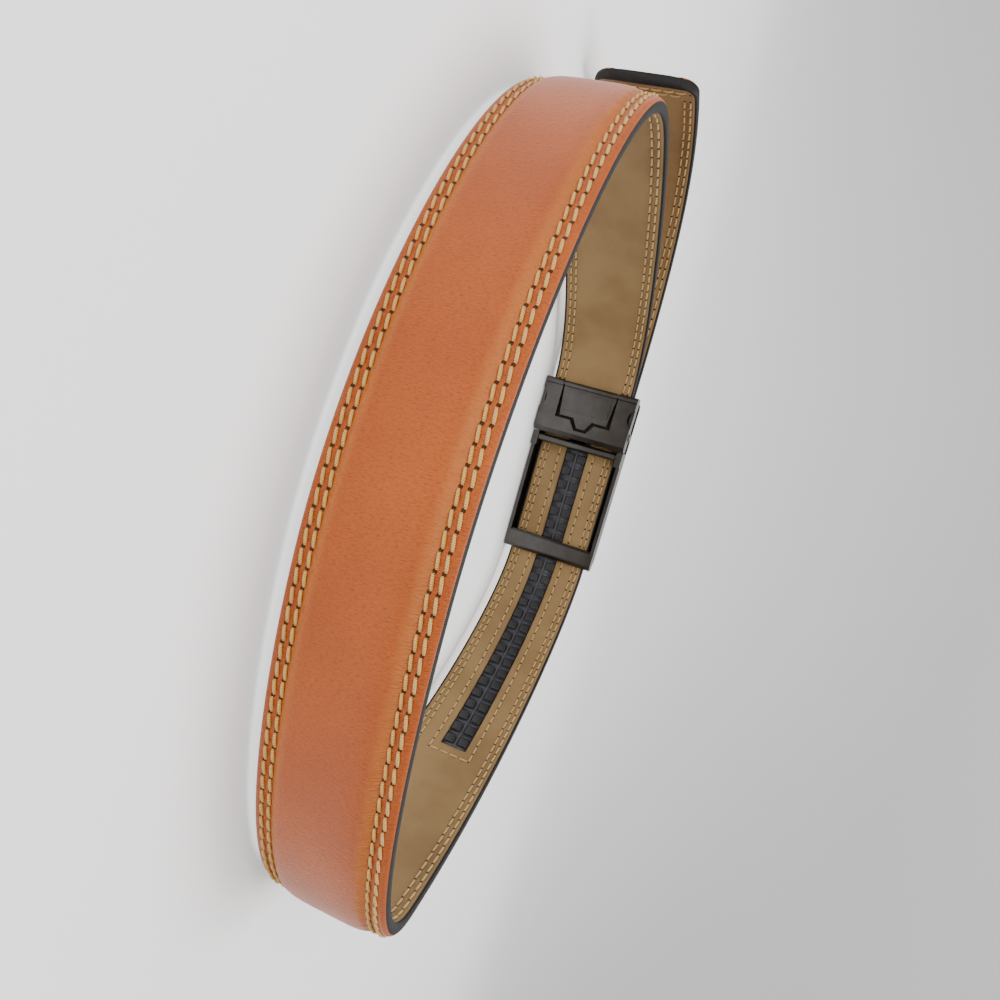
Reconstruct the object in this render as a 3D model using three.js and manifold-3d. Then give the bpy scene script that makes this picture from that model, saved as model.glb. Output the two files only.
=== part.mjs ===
// A ratchet belt, fastened and standing on its long edge as a bangle does. Millimetres, +Z up.
// Z is the strap's width. X runs along the loop's longer way, and the buckle lies on the +Y side.
// The strap is one strip: from its cut end in the clamp it goes round the waist and back through the
// buckle, outside the clamp, to its free end. A route in the XY plane carries every piece of the strap.

import * as THREE from 'three';
import { mergeVertices } from 'three/addons/utils/BufferGeometryUtils.js';
import Module from 'manifold-3d';

const wasm = await Module();
wasm.setup();

// Strap
const STRAP_WIDTH = 35;
const LINING_THICKNESS = 1.2;
const LEATHER_THICKNESS = 2.1;
const CROWN_HEIGHT = 1.2;
const CROWN_SHOULDER = { across: 0.78, rise: 0.72 };
const MARGIN_WIDTH = 5;
const LAYER_GAP = 0.3;
const TIP_CORNER_RADIUS = 5;

// Ratchet track
const SLOT_WIDTH = 10;
const SLOT_BEFORE_BUCKLE = 103;
const SLOT_TO_TIP = 42;
const TRACK_CLEARANCE = 0.3;
const TRACK_BASE = 0.5;
const TOOTH_HEIGHT = 0.6;
const TOOTH_PITCH = 6.35;
const TOOTH_LENGTH = 3.9;
const TRACK_RIB_WIDTH = 1.4;

// Loop, measured inside the strap
const LOOP_LENGTH = 220.7;
const LOOP_DEPTH = 184.2;
const TIP_REACH = 94;
const TIP_RISE = 73.5;

// Buckle
const BUCKLE_LENGTH = 79;
const BUCKLE_WIDTH = 41;
const BUCKLE_WALL = 1.5;
const FRONT_PLATE_THICKNESS = 2;
const FRONT_CORNER_RADIUS = 3.5;
const FRONT_BEVEL = 0.6;
const KEEPER_LENGTH = 8.8;
const KEEPER_THICKNESS = 2.8;
const KEEPER_GAP = 0.8;
const KEEPER_CHAMFER = 0.85;
const STRAP_CLEARANCE = 0.5;
const EAR_LENGTH = 10;
const EAR_WALL = 0.9;

// Clamp
const CLAMP_LENGTH = 23.9;
const CLAMP_WALL = 1.4;
const CLAMP_SPLIT = 0.4;
const CLAMP_START_BEVEL = 0.7;
const CLAMP_END_BEVEL = 2.1;
const CUT_END_DEPTH = 20.5;
const LID_WIDTH = 23.5;
const LID_LIP = 15.6;
const LID_PANEL_START = 4;
const LID_PANEL_END = 13;
const LID_CROWN = 0.9;
const LID_THICKNESS = 1.1;
const LID_CROWN_PROFILE = [
  { along: 0, rise: 0.4 },
  { along: 0.2, rise: 0.85 },
  { along: 0.5, rise: 1 },
  { along: 0.8, rise: 0.85 },
  { along: 1, rise: 0.4 },
];
const LID_GAP = 0.6;
const TAB_LENGTH = 4;
const TAB_ROOT = 9.8;
const TAB_TIP = 4.2;
const HINGE_INSET = 1.5;
const HINGE_RADIUS = 1.25;
const LID_PIN_RADIUS = 0.6;
const PIVOT_INSET = 17;
const PIVOT_RADIUS = 1.1;
const PIVOT_HEAD_RADIUS = 1.8;
const PIVOT_HEAD_HEIGHT = 0.5;
const SCALLOP_RADIUS = 5;
const SCALLOP_DEPTH = 2.2;

// Pawl that holds the teeth
const PAWL_ROD_RADIUS = 0.9;
const PAWL_HUB_RADIUS = 1.7;
const PAWL_OFFSET = 2.3;
const PAWL_REACH = 4;
const PAWL_HEIGHT = 4.6;
const PAWL_BITE = 0.3;
const PAWL_NOSE_WIDTH = 7;
const PAWL_SHANK = 1.2;
const PAWL_TIP = { length: 1, depth: 1 };
const PIN_CLEARANCE = 0.2;
const SIDE_GAP = 0.3;

// Where the loop's four extreme points lie, as shares of its length and depth, and how far each
// quarter's curve runs on straight from its two ends, as shares of what the quarter spans
const TOP_AT = 0.595;
const FRONT_AT = 0.437;
const BOTTOM_AT = 0.778;
const BUCKLE_AT = 0.5135;
const QUARTERS = {
  top: { leave: 0.448, arrive: 0.23 },
  front: { leave: 0.46, arrive: 0.493 },
  bottom: { leave: 0.5, arrive: 0.62 },
  back: { leave: 0.54, arrive: 0.35 },
};
const TIP_CURVE = { leave: 0.75, arrive: 0.62, lean: 0.02 };

// How far a cutting solid runs past what it cuts, and how far a joined piece sinks into its neighbour
const OVERCUT = 1;
const SINK = 0.1;

const ROUTE_STEP = 5;
const LEAST_STEP = 0.5;
const CORNER_STEPS = 5;
const ROUND_SIDES = 20;

const COLOURS = {
  leather: { color: 0xc8692f, roughness: 0.5, metalness: 0 },
  lining: { color: 0xaf8c5a, roughness: 0.75, metalness: 0 },
  track: { color: 0x1e1e24, roughness: 0.45, metalness: 0 },
  gunmetal: { color: 0x4a4643, roughness: 0.35, metalness: 0.9 },
  steel: { color: 0x77736f, roughness: 0.3, metalness: 0.9 },
};

// Depths through the strap and the buckle, from the through strap's inner face. Outward is +Y.
const leatherFace = LINING_THICKNESS + LAYER_GAP;
const strapThickness = leatherFace + LEATHER_THICKNESS;
const strapDepth = strapThickness + CROWN_HEIGHT;
const frontPlateIn = strapDepth + STRAP_CLEARANCE;
const frontPlateOut = frontPlateIn + FRONT_PLATE_THICKNESS;
const keeperIn = -KEEPER_GAP - KEEPER_THICKNESS;
const clampBackOut = -KEEPER_GAP;
const clampBackIn = clampBackOut - CLAMP_WALL;
const cutEndInner = clampBackIn - STRAP_CLEARANCE - strapDepth;
const clampFaceOut = cutEndInner - LID_GAP;
const clampFaceIn = clampFaceOut - CLAMP_WALL;

// Places along the buckle from its middle. The clamp lies on the -X side, the keeper on the +X side.
const buckleEnd = BUCKLE_LENGTH / 2;
const clampEnd = buckleEnd - CLAMP_LENGTH;
const railEnd = clampEnd - CLAMP_SPLIT;
const halfBuckle = BUCKLE_WIDTH / 2;
const throughBuckle = [-halfBuckle - OVERCUT, halfBuckle + OVERCUT];
const halfStrap = STRAP_WIDTH / 2;
const earOut = halfBuckle - CLAMP_WALL - SIDE_GAP;
const earIn = earOut - EAR_WALL;
const hingeX = -buckleEnd + HINGE_INSET;
const hingeY = cutEndInner - LAYER_GAP - HINGE_RADIUS;
const pivotX = -buckleEnd + PIVOT_INSET;
const pivotY = (clampBackIn + keeperIn) / 2;
const earEnd = pivotX - EAR_LENGTH / 2 + PIVOT_RADIUS;
const pawlX = -railEnd + PAWL_OFFSET;
const pawlY = -PAWL_HEIGHT;

function toSolid(geometry) {
  const bare = geometry.index ? geometry.toNonIndexed() : geometry.clone();
  bare.deleteAttribute('normal');
  bare.deleteAttribute('uv');
  const merged = mergeVertices(bare, 1e-4);
  return new wasm.Manifold(new wasm.Mesh({
    numProp: 3,
    vertProperties: new Float32Array(merged.attributes.position.array),
    triVerts: new Uint32Array(merged.index.array),
  }));
}

function toGeometry(solid) {
  const mesh = solid.getMesh();
  const geometry = new THREE.BufferGeometry();
  geometry.setAttribute('position', new THREE.BufferAttribute(new Float32Array(mesh.vertProperties), 3));
  geometry.setIndex(new THREE.BufferAttribute(new Uint32Array(mesh.triVerts), 1));
  geometry.computeVertexNormals();
  return geometry;
}

function named(name, solid, colour) {
  const material = new THREE.MeshStandardMaterial(COLOURS[colour]);
  const mesh = new THREE.Mesh(toGeometry(solid), material);
  mesh.name = name;
  return mesh;
}

function ordered(a, b) {
  return a < b ? [a, b] : [b, a];
}

function unite(solids) {
  return solids.reduce((whole, next) => whole.add(next));
}

// A block between two values on each axis
function block(x, y, z) {
  const geometry = new THREE.BoxGeometry(x[1] - x[0], y[1] - y[0], z[1] - z[0]);
  geometry.translate((x[0] + x[1]) / 2, (y[0] + y[1]) / 2, (z[0] + z[1]) / 2);
  return toSolid(geometry);
}

// A round bar along Z
function rod(x, y, radius, z) {
  const geometry = new THREE.CylinderGeometry(radius, radius, z[1] - z[0], ROUND_SIDES);
  geometry.rotateX(Math.PI / 2);
  geometry.translate(x, y, (z[0] + z[1]) / 2);
  return toSolid(geometry);
}

// An outline in the XY plane, pushed along Z
function slab(points, z) {
  const shape = new THREE.Shape(points.map(([x, y]) => new THREE.Vector2(x, y)));
  const geometry = new THREE.ExtrudeGeometry(shape, { depth: z[1] - z[0], bevelEnabled: false });
  geometry.translate(0, 0, z[0]);
  return toSolid(geometry);
}

// An outline in the XZ plane, pushed along Y
function plate(points, y) {
  const shape = new THREE.Shape(points.map(([x, z]) => new THREE.Vector2(x, z)));
  const geometry = new THREE.ExtrudeGeometry(shape, { depth: y[1] - y[0], bevelEnabled: false });
  geometry.rotateX(Math.PI / 2);
  geometry.translate(0, y[1], 0);
  return toSolid(geometry);
}

// The route of the strap's inner face

function curveBetween(start, startWay, end, endWay, reach) {
  return new THREE.CubicBezierCurve(
    start,
    start.clone().addScaledVector(startWay, reach[0]),
    end.clone().addScaledVector(endWay, -reach[1]),
    end,
  );
}

// The loop lies with its hand end at the top of this drawing, its buckle on the right, and turns so
// that the buckle comes to +Y: x here is across the loop, y along it
function buildRoute() {
  const buckleMiddle = BUCKLE_AT * LOOP_LENGTH;
  const cutEnd = new THREE.Vector2(buckleMiddle + buckleEnd - CUT_END_DEPTH, -cutEndInner);
  const leaveClamp = new THREE.Vector2(buckleMiddle + buckleEnd, -cutEndInner);
  const top = new THREE.Vector2(LOOP_LENGTH, TOP_AT * LOOP_DEPTH);
  const front = new THREE.Vector2(FRONT_AT * LOOP_LENGTH, LOOP_DEPTH);
  const bottom = new THREE.Vector2(0, BOTTOM_AT * LOOP_DEPTH);
  const enterBuckle = new THREE.Vector2(buckleMiddle - buckleEnd, 0);
  const leaveBuckle = new THREE.Vector2(buckleMiddle + buckleEnd, 0);
  const tip = new THREE.Vector2(leaveBuckle.x + TIP_REACH, TIP_RISE);

  const along = new THREE.Vector2(1, 0);
  const across = new THREE.Vector2(0, 1);
  const back = new THREE.Vector2(-1, 0);
  const down = new THREE.Vector2(0, -1);
  const tipWay = new THREE.Vector2(TIP_CURVE.lean, 1).normalize();
  const q = QUARTERS;
  const span = (a, b, share) => Math.abs(a - b) * share;

  return [
    new THREE.LineCurve(cutEnd, leaveClamp),
    curveBetween(leaveClamp, along, top, across,
      [span(top.x, leaveClamp.x, q.top.leave), span(top.y, leaveClamp.y, q.top.arrive)]),
    curveBetween(top, across, front, back,
      [span(front.y, top.y, q.front.leave), span(top.x, front.x, q.front.arrive)]),
    curveBetween(front, back, bottom, down,
      [span(front.x, 0, q.bottom.leave), span(front.y, bottom.y, q.bottom.arrive)]),
    curveBetween(bottom, down, enterBuckle, along,
      [span(bottom.y, 0, q.back.leave), span(enterBuckle.x, 0, q.back.arrive)]),
    new THREE.LineCurve(enterBuckle, leaveBuckle),
    curveBetween(leaveBuckle, along, tip, tipWay,
      [TIP_REACH * TIP_CURVE.leave, TIP_RISE * TIP_CURVE.arrive]),
  ];
}

// Points and outward ways along the route, with their distance from the cut end
function measureRoute(curves) {
  const stations = [];
  const marks = [0];
  let travelled = 0;
  for (const curve of curves) {
    const length = curve.getLength();
    const steps = Math.max(2, Math.ceil(length / ROUTE_STEP));
    for (let i = stations.length ? 1 : 0; i <= steps; i += 1) {
      const point = curve.getPointAt(i / steps);
      const way = curve.getTangentAt(i / steps);
      stations.push({
        s: travelled + length * i / steps,
        x: -point.x,
        y: -point.y,
        outX: -way.y,
        outY: way.x,
      });
    }
    travelled += length;
    marks.push(travelled);
  }
  return { stations, marks, length: travelled };
}

const route = measureRoute(buildRoute());
const buckleStart = route.marks[5];
const slotStart = buckleStart - SLOT_BEFORE_BUCKLE;
const slotEnd = route.length - SLOT_TO_TIP;

// The route's frame at any distance along it
function placeAt(s) {
  const list = route.stations;
  let i = list.findIndex((station) => station.s >= s);
  if (i < 1) i = i < 0 ? list.length - 1 : 1;
  const a = list[i - 1];
  const b = list[i];
  const t = (s - a.s) / (b.s - a.s);
  const mix = (key) => a[key] + (b[key] - a[key]) * t;
  const out = new THREE.Vector2(mix('outX'), mix('outY')).normalize();
  return { s, x: mix('x'), y: mix('y'), outX: out.x, outY: out.y };
}

// The stations from one distance to another, with their ends exactly there
function stretch(from, to, extra = []) {
  const inner = route.stations.filter(({ s }) => s > from + LEAST_STEP && s < to - LEAST_STEP);
  const added = extra.map(placeAt);
  const kept = inner.filter(({ s }) => added.every((other) => Math.abs(other.s - s) > LEAST_STEP));
  return [placeAt(from), ...kept, ...added, placeAt(to)].sort((a, b) => a.s - b.s);
}

// A closed skin through the rings that ringOf gives as [across, outward] pairs at each station
function sweep(stations, ringOf) {
  const rings = stations.map((station) => ringOf(station.s).map(([across, outward]) => [
    station.x + station.outX * outward,
    station.y + station.outY * outward,
    across,
  ]));
  const count = rings[0].length;
  const positions = new Float32Array(rings.flat(2));
  const indices = [];
  for (let i = 0; i + 1 < rings.length; i += 1) {
    for (let j = 0; j < count; j += 1) {
      const a = i * count + j;
      const b = i * count + (j + 1) % count;
      indices.push(a, b, a + count, b, b + count, a + count);
    }
  }
  const outline = (s) => ringOf(s).map(([across, outward]) => new THREE.Vector2(across, outward));
  const last = (rings.length - 1) * count;
  for (const [a, b, c] of THREE.ShapeUtils.triangulateShape(outline(stations[0].s), [])) {
    indices.push(a, c, b);
  }
  for (const [a, b, c] of THREE.ShapeUtils.triangulateShape(outline(stations.at(-1).s), [])) {
    indices.push(last + a, last + b, last + c);
  }
  return new wasm.Manifold(new wasm.Mesh({
    numProp: 3,
    vertProperties: positions,
    triVerts: new Uint32Array(indices),
  }));
}

// Half the strap's width, which falls away round the corners of the free end
function halfWidthAt(s) {
  const left = route.length - s;
  if (left >= TIP_CORNER_RADIUS) return halfStrap;
  const rise = TIP_CORNER_RADIUS - left;
  return halfStrap - TIP_CORNER_RADIUS + Math.sqrt(TIP_CORNER_RADIUS ** 2 - rise ** 2);
}

const cornerStations = Array.from({ length: CORNER_STEPS }, (_, i) => (
  route.length - TIP_CORNER_RADIUS * (1 - Math.sin((i / CORNER_STEPS) * Math.PI / 2))
));

function leatherRing(s) {
  const half = halfWidthAt(s);
  const flat = half - MARGIN_WIDTH;
  const shoulder = flat * CROWN_SHOULDER.across;
  const shoulderOut = strapThickness + CROWN_HEIGHT * CROWN_SHOULDER.rise;
  return [
    [-half, leatherFace],
    [half, leatherFace],
    [half, strapThickness - LAYER_GAP],
    [flat, strapThickness],
    [shoulder, shoulderOut],
    [0, strapDepth],
    [-shoulder, shoulderOut],
    [-flat, strapThickness],
    [-half, strapThickness - LAYER_GAP],
  ];
}

function bandRing(half, inward, outward) {
  return [[-half, inward], [half, inward], [half, outward], [-half, outward]];
}

function makeLeather() {
  return sweep(stretch(0, route.length, cornerStations), leatherRing);
}

function makeLining() {
  const stations = stretch(0, route.length, [slotStart, slotEnd, ...cornerStations]);
  const band = sweep(stations, (s) => bandRing(halfWidthAt(s), 0, LINING_THICKNESS));
  const past = LAYER_GAP / 2;
  const slot = sweep(stretch(slotStart, slotEnd),
    () => bandRing(SLOT_WIDTH / 2, -past, LINING_THICKNESS + past));
  return band.subtract(slot);
}

// The teeth are set out from the pawl, so that its nose always stands in a gap between two of them
const pawlAlong = buckleStart + buckleEnd - pawlX + PAWL_REACH;

function makeTrack() {
  const half = SLOT_WIDTH / 2 - TRACK_CLEARANCE;
  const baseOut = leatherFace - LAYER_GAP;
  const baseIn = baseOut - TRACK_BASE;
  const from = slotStart + TRACK_CLEARANCE;
  const to = slotEnd - TRACK_CLEARANCE;
  const base = sweep(stretch(from, to), () => bandRing(half, baseIn, baseOut));
  const inset = TRACK_RIB_WIDTH / 2;
  const width = half - inset - SINK;
  const first = Math.ceil((from + TOOTH_LENGTH - pawlAlong) / TOOTH_PITCH - 0.5);
  const last = Math.floor((to - TOOTH_LENGTH - pawlAlong) / TOOTH_PITCH - 0.5);
  const teeth = [];
  for (let i = first; i <= last; i += 1) {
    const middle = pawlAlong + (i + 0.5) * TOOTH_PITCH;
    const place = placeAt(middle);
    for (const side of [-1, 1]) {
      const geometry = new THREE.BoxGeometry(TOOTH_LENGTH, TOOTH_HEIGHT + TRACK_BASE / 2, width);
      geometry.translate(0, -(TOOTH_HEIGHT - TRACK_BASE / 2) / 2, side * (inset + width / 2));
      geometry.rotateZ(Math.atan2(-place.outX, place.outY));
      geometry.translate(place.x + place.outX * baseIn, place.y + place.outY * baseIn, 0);
      teeth.push(toSolid(geometry));
    }
  }
  return unite([base, ...teeth]);
}

// The buckle, from its own middle, with the through strap's inner face at y = 0

function roundedRectangle(x, z, radius) {
  const corners = [[x[1], z[1], 0], [x[0], z[1], 1], [x[0], z[0], 2], [x[1], z[0], 3]];
  return corners.flatMap(([cx, cz, quarter]) => {
    const signX = quarter === 0 || quarter === 3 ? -1 : 1;
    const signZ = quarter < 2 ? -1 : 1;
    return Array.from({ length: CORNER_STEPS + 1 }, (_, i) => {
      const angle = (quarter + i / CORNER_STEPS) * Math.PI / 2;
      return [
        cx + signX * radius + radius * Math.cos(angle),
        cz + signZ * radius + radius * Math.sin(angle),
      ];
    });
  });
}

function makeFrame() {
  const span = [-buckleEnd, buckleEnd];
  const wide = [-halfBuckle, halfBuckle];
  const face = plate(
    roundedRectangle(span, wide, FRONT_CORNER_RADIUS),
    [frontPlateIn, frontPlateOut - FRONT_BEVEL],
  );
  const inner = [-buckleEnd + FRONT_BEVEL, buckleEnd - FRONT_BEVEL];
  const innerWide = [-halfBuckle + FRONT_BEVEL, halfBuckle - FRONT_BEVEL];
  const step = plate(
    roundedRectangle(inner, innerWide, FRONT_CORNER_RADIUS - FRONT_BEVEL),
    [frontPlateIn, frontPlateOut],
  );
  const parts = [face, step];
  const bend = Array.from({ length: CORNER_STEPS + 1 }, (_, i) => {
    const angle = (i / CORNER_STEPS - 1) * Math.PI / 2;
    return [
      buckleEnd - KEEPER_THICKNESS + KEEPER_THICKNESS * Math.cos(angle),
      keeperIn + KEEPER_THICKNESS + KEEPER_THICKNESS * Math.sin(angle),
    ];
  });
  for (const side of [-1, 1]) {
    const outer = side * halfBuckle;
    const rail = ordered(outer, side * (halfBuckle - BUCKLE_WALL));
    const profile = [
      [-railEnd, frontPlateIn + LAYER_GAP],
      [-railEnd, keeperIn],
      ...bend,
      [buckleEnd, frontPlateIn - FRONT_CORNER_RADIUS],
      [buckleEnd - FRONT_CORNER_RADIUS, frontPlateIn + LAYER_GAP],
    ];
    parts.push(slab(profile, rail));
    const thick = ordered(side * earIn, outer);
    const hold = pawlX + PAWL_HUB_RADIUS + PAWL_OFFSET;
    parts.push(block([-railEnd, hold], [-PAWL_HEIGHT - PAWL_HUB_RADIUS, frontPlateIn + LAYER_GAP], thick));
    const ear = ordered(side * earIn, side * earOut);
    const earDepth = [pivotY - PIVOT_HEAD_RADIUS, frontPlateIn + LAYER_GAP];
    parts.push(block([earEnd, -railEnd + OVERCUT], earDepth, ear));
  }
  const bar = [-halfBuckle + BUCKLE_WALL / 2, halfBuckle - BUCKLE_WALL / 2];
  const keeperStart = buckleEnd - KEEPER_LENGTH;
  parts.push(slab([
    [keeperStart, -KEEPER_GAP],
    [keeperStart, keeperIn + KEEPER_CHAMFER],
    [keeperStart + KEEPER_CHAMFER, keeperIn],
    ...bend,
  ], bar));
  const holes = [
    rod(pawlX, pawlY, PAWL_ROD_RADIUS + PIN_CLEARANCE, throughBuckle),
    rod(pivotX, pivotY, PIVOT_RADIUS + PIN_CLEARANCE, throughBuckle),
  ];
  return unite(parts).subtract(unite(holes));
}

function lidOpening(clearance) {
  const half = LID_WIDTH / 2 + clearance;
  const lip = -buckleEnd + LID_LIP + clearance;
  const tab = lip + TAB_LENGTH;
  return [
    [-buckleEnd - OVERCUT, -half],
    [lip, -half],
    [lip, -TAB_ROOT / 2 - clearance],
    [tab, -TAB_TIP / 2 - clearance],
    [tab, TAB_TIP / 2 + clearance],
    [lip, TAB_ROOT / 2 + clearance],
    [lip, half],
    [-buckleEnd - OVERCUT, half],
  ];
}

function makeClampBody() {
  const span = [-buckleEnd, -clampEnd];
  const wide = [-halfBuckle, halfBuckle];
  const hollowWide = [-halfBuckle + CLAMP_WALL, halfBuckle - CLAMP_WALL];
  const shell = slab([
    [span[0], clampBackOut],
    [span[0], clampFaceIn + CLAMP_START_BEVEL],
    [span[0] + CLAMP_START_BEVEL, clampFaceIn],
    [span[1] - CLAMP_END_BEVEL, clampFaceIn],
    [span[1], clampFaceIn + CLAMP_END_BEVEL],
    [span[1], clampBackOut],
  ], wide);
  const hollow = block([span[0] - OVERCUT, span[1] - CLAMP_WALL], [clampFaceOut, clampBackIn], hollowWide);
  const window = plate(lidOpening(LID_GAP), [clampFaceIn - OVERCUT, clampFaceOut + SINK]);
  const cuts = [
    hollow,
    window,
    rod(hingeX, hingeY, LID_PIN_RADIUS + PIN_CLEARANCE, throughBuckle),
    rod(pivotX, pivotY, PIVOT_RADIUS + PIN_CLEARANCE, throughBuckle),
  ];
  const passage = PAWL_NOSE_WIDTH / 2 + STRAP_CLEARANCE;
  const passageEnd = -buckleEnd + CUT_END_DEPTH - SIDE_GAP;
  const passageIn = pawlY - PAWL_HUB_RADIUS;
  cuts.push(block([passageEnd, span[1] + OVERCUT], [passageIn, 0], [-passage, passage]));
  const knuckles = [-1, 1].map((side) => {
    const ends = ordered(side * (LID_WIDTH / 2 + LID_GAP), side * (halfBuckle - LAYER_GAP));
    return rod(hingeX, hingeY, HINGE_RADIUS, ends);
  });
  for (const side of [-1, 1]) {
    const notch = ordered(side * (earIn - SIDE_GAP), side * (earOut + SIDE_GAP));
    const notchDepth = [pivotY - PIVOT_HEAD_RADIUS - SIDE_GAP, 0];
    cuts.push(block([earEnd - SIDE_GAP, span[1] + OVERCUT], notchDepth, notch));
    const edge = side * (halfBuckle + SCALLOP_RADIUS - SCALLOP_DEPTH);
    const bite = new THREE.CylinderGeometry(SCALLOP_RADIUS, SCALLOP_RADIUS, CLAMP_WALL * 2, ROUND_SIDES);
    bite.translate((hingeX + pivotX) / 2, clampFaceIn, edge);
    cuts.push(toSolid(bite));
  }
  return unite([shell, ...knuckles]).subtract(unite(cuts));
}

function makeClampLid() {
  const half = LID_WIDTH / 2;
  const lip = -buckleEnd + LID_LIP;
  const sheetOut = clampFaceOut - LAYER_GAP;
  const sheetIn = sheetOut - LID_THICKNESS;
  const sheet = plate([
    [hingeX, -half],
    [lip, -half],
    [lip, -TAB_ROOT / 2],
    [lip + TAB_LENGTH, -TAB_TIP / 2],
    [lip + TAB_LENGTH, TAB_TIP / 2],
    [lip, TAB_ROOT / 2],
    [lip, half],
    [hingeX, half],
  ], [sheetIn, sheetOut]);
  const start = -buckleEnd + LID_PANEL_START;
  const end = -buckleEnd + LID_PANEL_END;
  const length = end - start;
  const profile = LID_CROWN_PROFILE.map(({ along, rise }) => (
    [start + length * along, sheetIn - LID_CROWN * rise]
  ));
  const crown = slab([
    [start, sheetIn + SINK],
    ...profile,
    [end, sheetIn + SINK],
  ], [-half + LID_GAP, half - LID_GAP]);
  const barrel = rod(hingeX, hingeY, HINGE_RADIUS, [-half, half]);
  const bore = rod(hingeX, hingeY, LID_PIN_RADIUS + PIN_CLEARANCE, throughBuckle);
  return unite([sheet, crown, barrel]).subtract(bore);
}

function makeLidPin() {
  return rod(hingeX, hingeY, LID_PIN_RADIUS, [-halfBuckle, halfBuckle]);
}

function makePivotPin(side) {
  const ends = ordered(side * (earIn + PIN_CLEARANCE / 2), side * (halfBuckle + PIN_CLEARANCE));
  const head = ordered(side * (halfBuckle + PIN_CLEARANCE), side * (halfBuckle + PIVOT_HEAD_HEIGHT));
  return rod(pivotX, pivotY, PIVOT_RADIUS, ends).add(rod(pivotX, pivotY, PIVOT_HEAD_RADIUS, head));
}

function makePawl() {
  const half = earIn - SIDE_GAP;
  const noseTip = LINING_THICKNESS - TRACK_BASE - TOOTH_HEIGHT + PAWL_BITE;
  const hub = rod(pawlX, pawlY, PAWL_HUB_RADIUS, [-half, half]);
  const noseX = pawlX - PAWL_REACH;
  const nose = slab([
    [pawlX - PAWL_SHANK, pawlY - PAWL_SHANK],
    [pawlX + PAWL_SHANK, pawlY + PAWL_SHANK],
    [noseX + PAWL_TIP.length / 2, noseTip],
    [noseX - PAWL_TIP.length / 2, noseTip],
    [noseX - PAWL_TIP.length / 2, noseTip - PAWL_TIP.depth],
  ], [-PAWL_NOSE_WIDTH / 2, PAWL_NOSE_WIDTH / 2]);
  const bore = rod(pawlX, pawlY, PAWL_ROD_RADIUS + PIN_CLEARANCE, throughBuckle);
  return unite([hub, nose]).subtract(bore);
}

function makePawlRod() {
  return rod(pawlX, pawlY, PAWL_ROD_RADIUS, [-halfBuckle, halfBuckle]);
}

const strap = new THREE.Group();
strap.add(named('strap_leather', makeLeather(), 'leather'));
strap.add(named('strap_lining', makeLining(), 'lining'));
strap.add(named('ratchet_track', makeTrack(), 'track'));

const buckle = new THREE.Group();
buckle.position.x = -BUCKLE_AT * LOOP_LENGTH;
buckle.add(named('buckle_frame', makeFrame(), 'gunmetal'));
buckle.add(named('clamp_body', makeClampBody(), 'gunmetal'));
buckle.add(named('clamp_lid', makeClampLid(), 'gunmetal'));
buckle.add(named('clamp_lid_pin', makeLidPin(), 'steel'));
buckle.add(named('clamp_pivot_lower', makePivotPin(-1), 'steel'));
buckle.add(named('clamp_pivot_upper', makePivotPin(1), 'steel'));
buckle.add(named('pawl', makePawl(), 'gunmetal'));
buckle.add(named('pawl_rod', makePawlRod(), 'steel'));

const belt = new THREE.Group();
belt.add(strap, buckle);
belt.updateMatrixWorld(true);

// The middle of the footprint stands at the origin, and the lowest point on the ground
const box = new THREE.Box3().setFromObject(belt, true);
belt.position.set(-(box.min.x + box.max.x) / 2, -(box.min.y + box.max.y) / 2, -box.min.z);

export default belt;
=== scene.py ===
import logging
import math
from dataclasses import dataclass, field
from enum import Enum
from functools import reduce
from typing import Any, Callable, Sequence

import bmesh
import bpy
import numpy as np
from mathutils import Matrix, Vector


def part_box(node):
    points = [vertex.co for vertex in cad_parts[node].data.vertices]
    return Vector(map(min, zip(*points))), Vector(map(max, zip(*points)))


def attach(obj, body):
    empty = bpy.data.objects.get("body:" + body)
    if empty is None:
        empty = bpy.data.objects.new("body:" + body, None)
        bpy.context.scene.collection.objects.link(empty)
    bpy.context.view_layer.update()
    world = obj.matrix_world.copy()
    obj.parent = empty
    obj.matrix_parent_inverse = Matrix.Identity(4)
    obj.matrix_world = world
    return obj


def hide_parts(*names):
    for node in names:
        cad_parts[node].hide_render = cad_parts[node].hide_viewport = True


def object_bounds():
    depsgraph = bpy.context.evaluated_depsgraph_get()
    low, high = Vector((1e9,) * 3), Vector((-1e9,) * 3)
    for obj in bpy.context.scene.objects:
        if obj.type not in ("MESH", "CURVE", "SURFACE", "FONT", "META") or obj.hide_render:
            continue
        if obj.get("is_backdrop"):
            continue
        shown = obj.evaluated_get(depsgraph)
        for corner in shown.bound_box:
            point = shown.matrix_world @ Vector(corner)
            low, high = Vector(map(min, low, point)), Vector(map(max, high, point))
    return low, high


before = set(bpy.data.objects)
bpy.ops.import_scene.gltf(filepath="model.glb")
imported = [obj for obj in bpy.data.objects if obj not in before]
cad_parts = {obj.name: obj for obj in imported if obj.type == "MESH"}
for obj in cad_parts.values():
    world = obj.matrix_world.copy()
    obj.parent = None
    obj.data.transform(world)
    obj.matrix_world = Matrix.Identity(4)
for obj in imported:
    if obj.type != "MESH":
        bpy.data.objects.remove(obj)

MM = 0.001
CAD_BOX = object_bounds()

Colour = tuple[float, float, float]
Polygons = list[tuple[int, ...]]

logging.basicConfig(level=logging.INFO, format="%(message)s")
log = logging.getLogger("ratchet_belt")


class Slot(Enum):
    """The record's material slots."""

    LEATHER = "strap_leather"
    LINING = "strap_lining"
    TRACK = "ratchet_track"
    METAL = "buckle_metal"
    PIN = "pin_steel"


class Body(Enum):
    """The record's bodies."""

    STRAP = "strap"
    LID = "lid"
    PAWL = "pawl"


class Face(Enum):
    """Which side of the strap a row of stitches shows on."""

    OUTER = 1
    INNER = -1


class TrackPart(Enum):
    """What is moulded into the track, by its material's index."""

    TOOTH = 0
    RIB = 1


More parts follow.
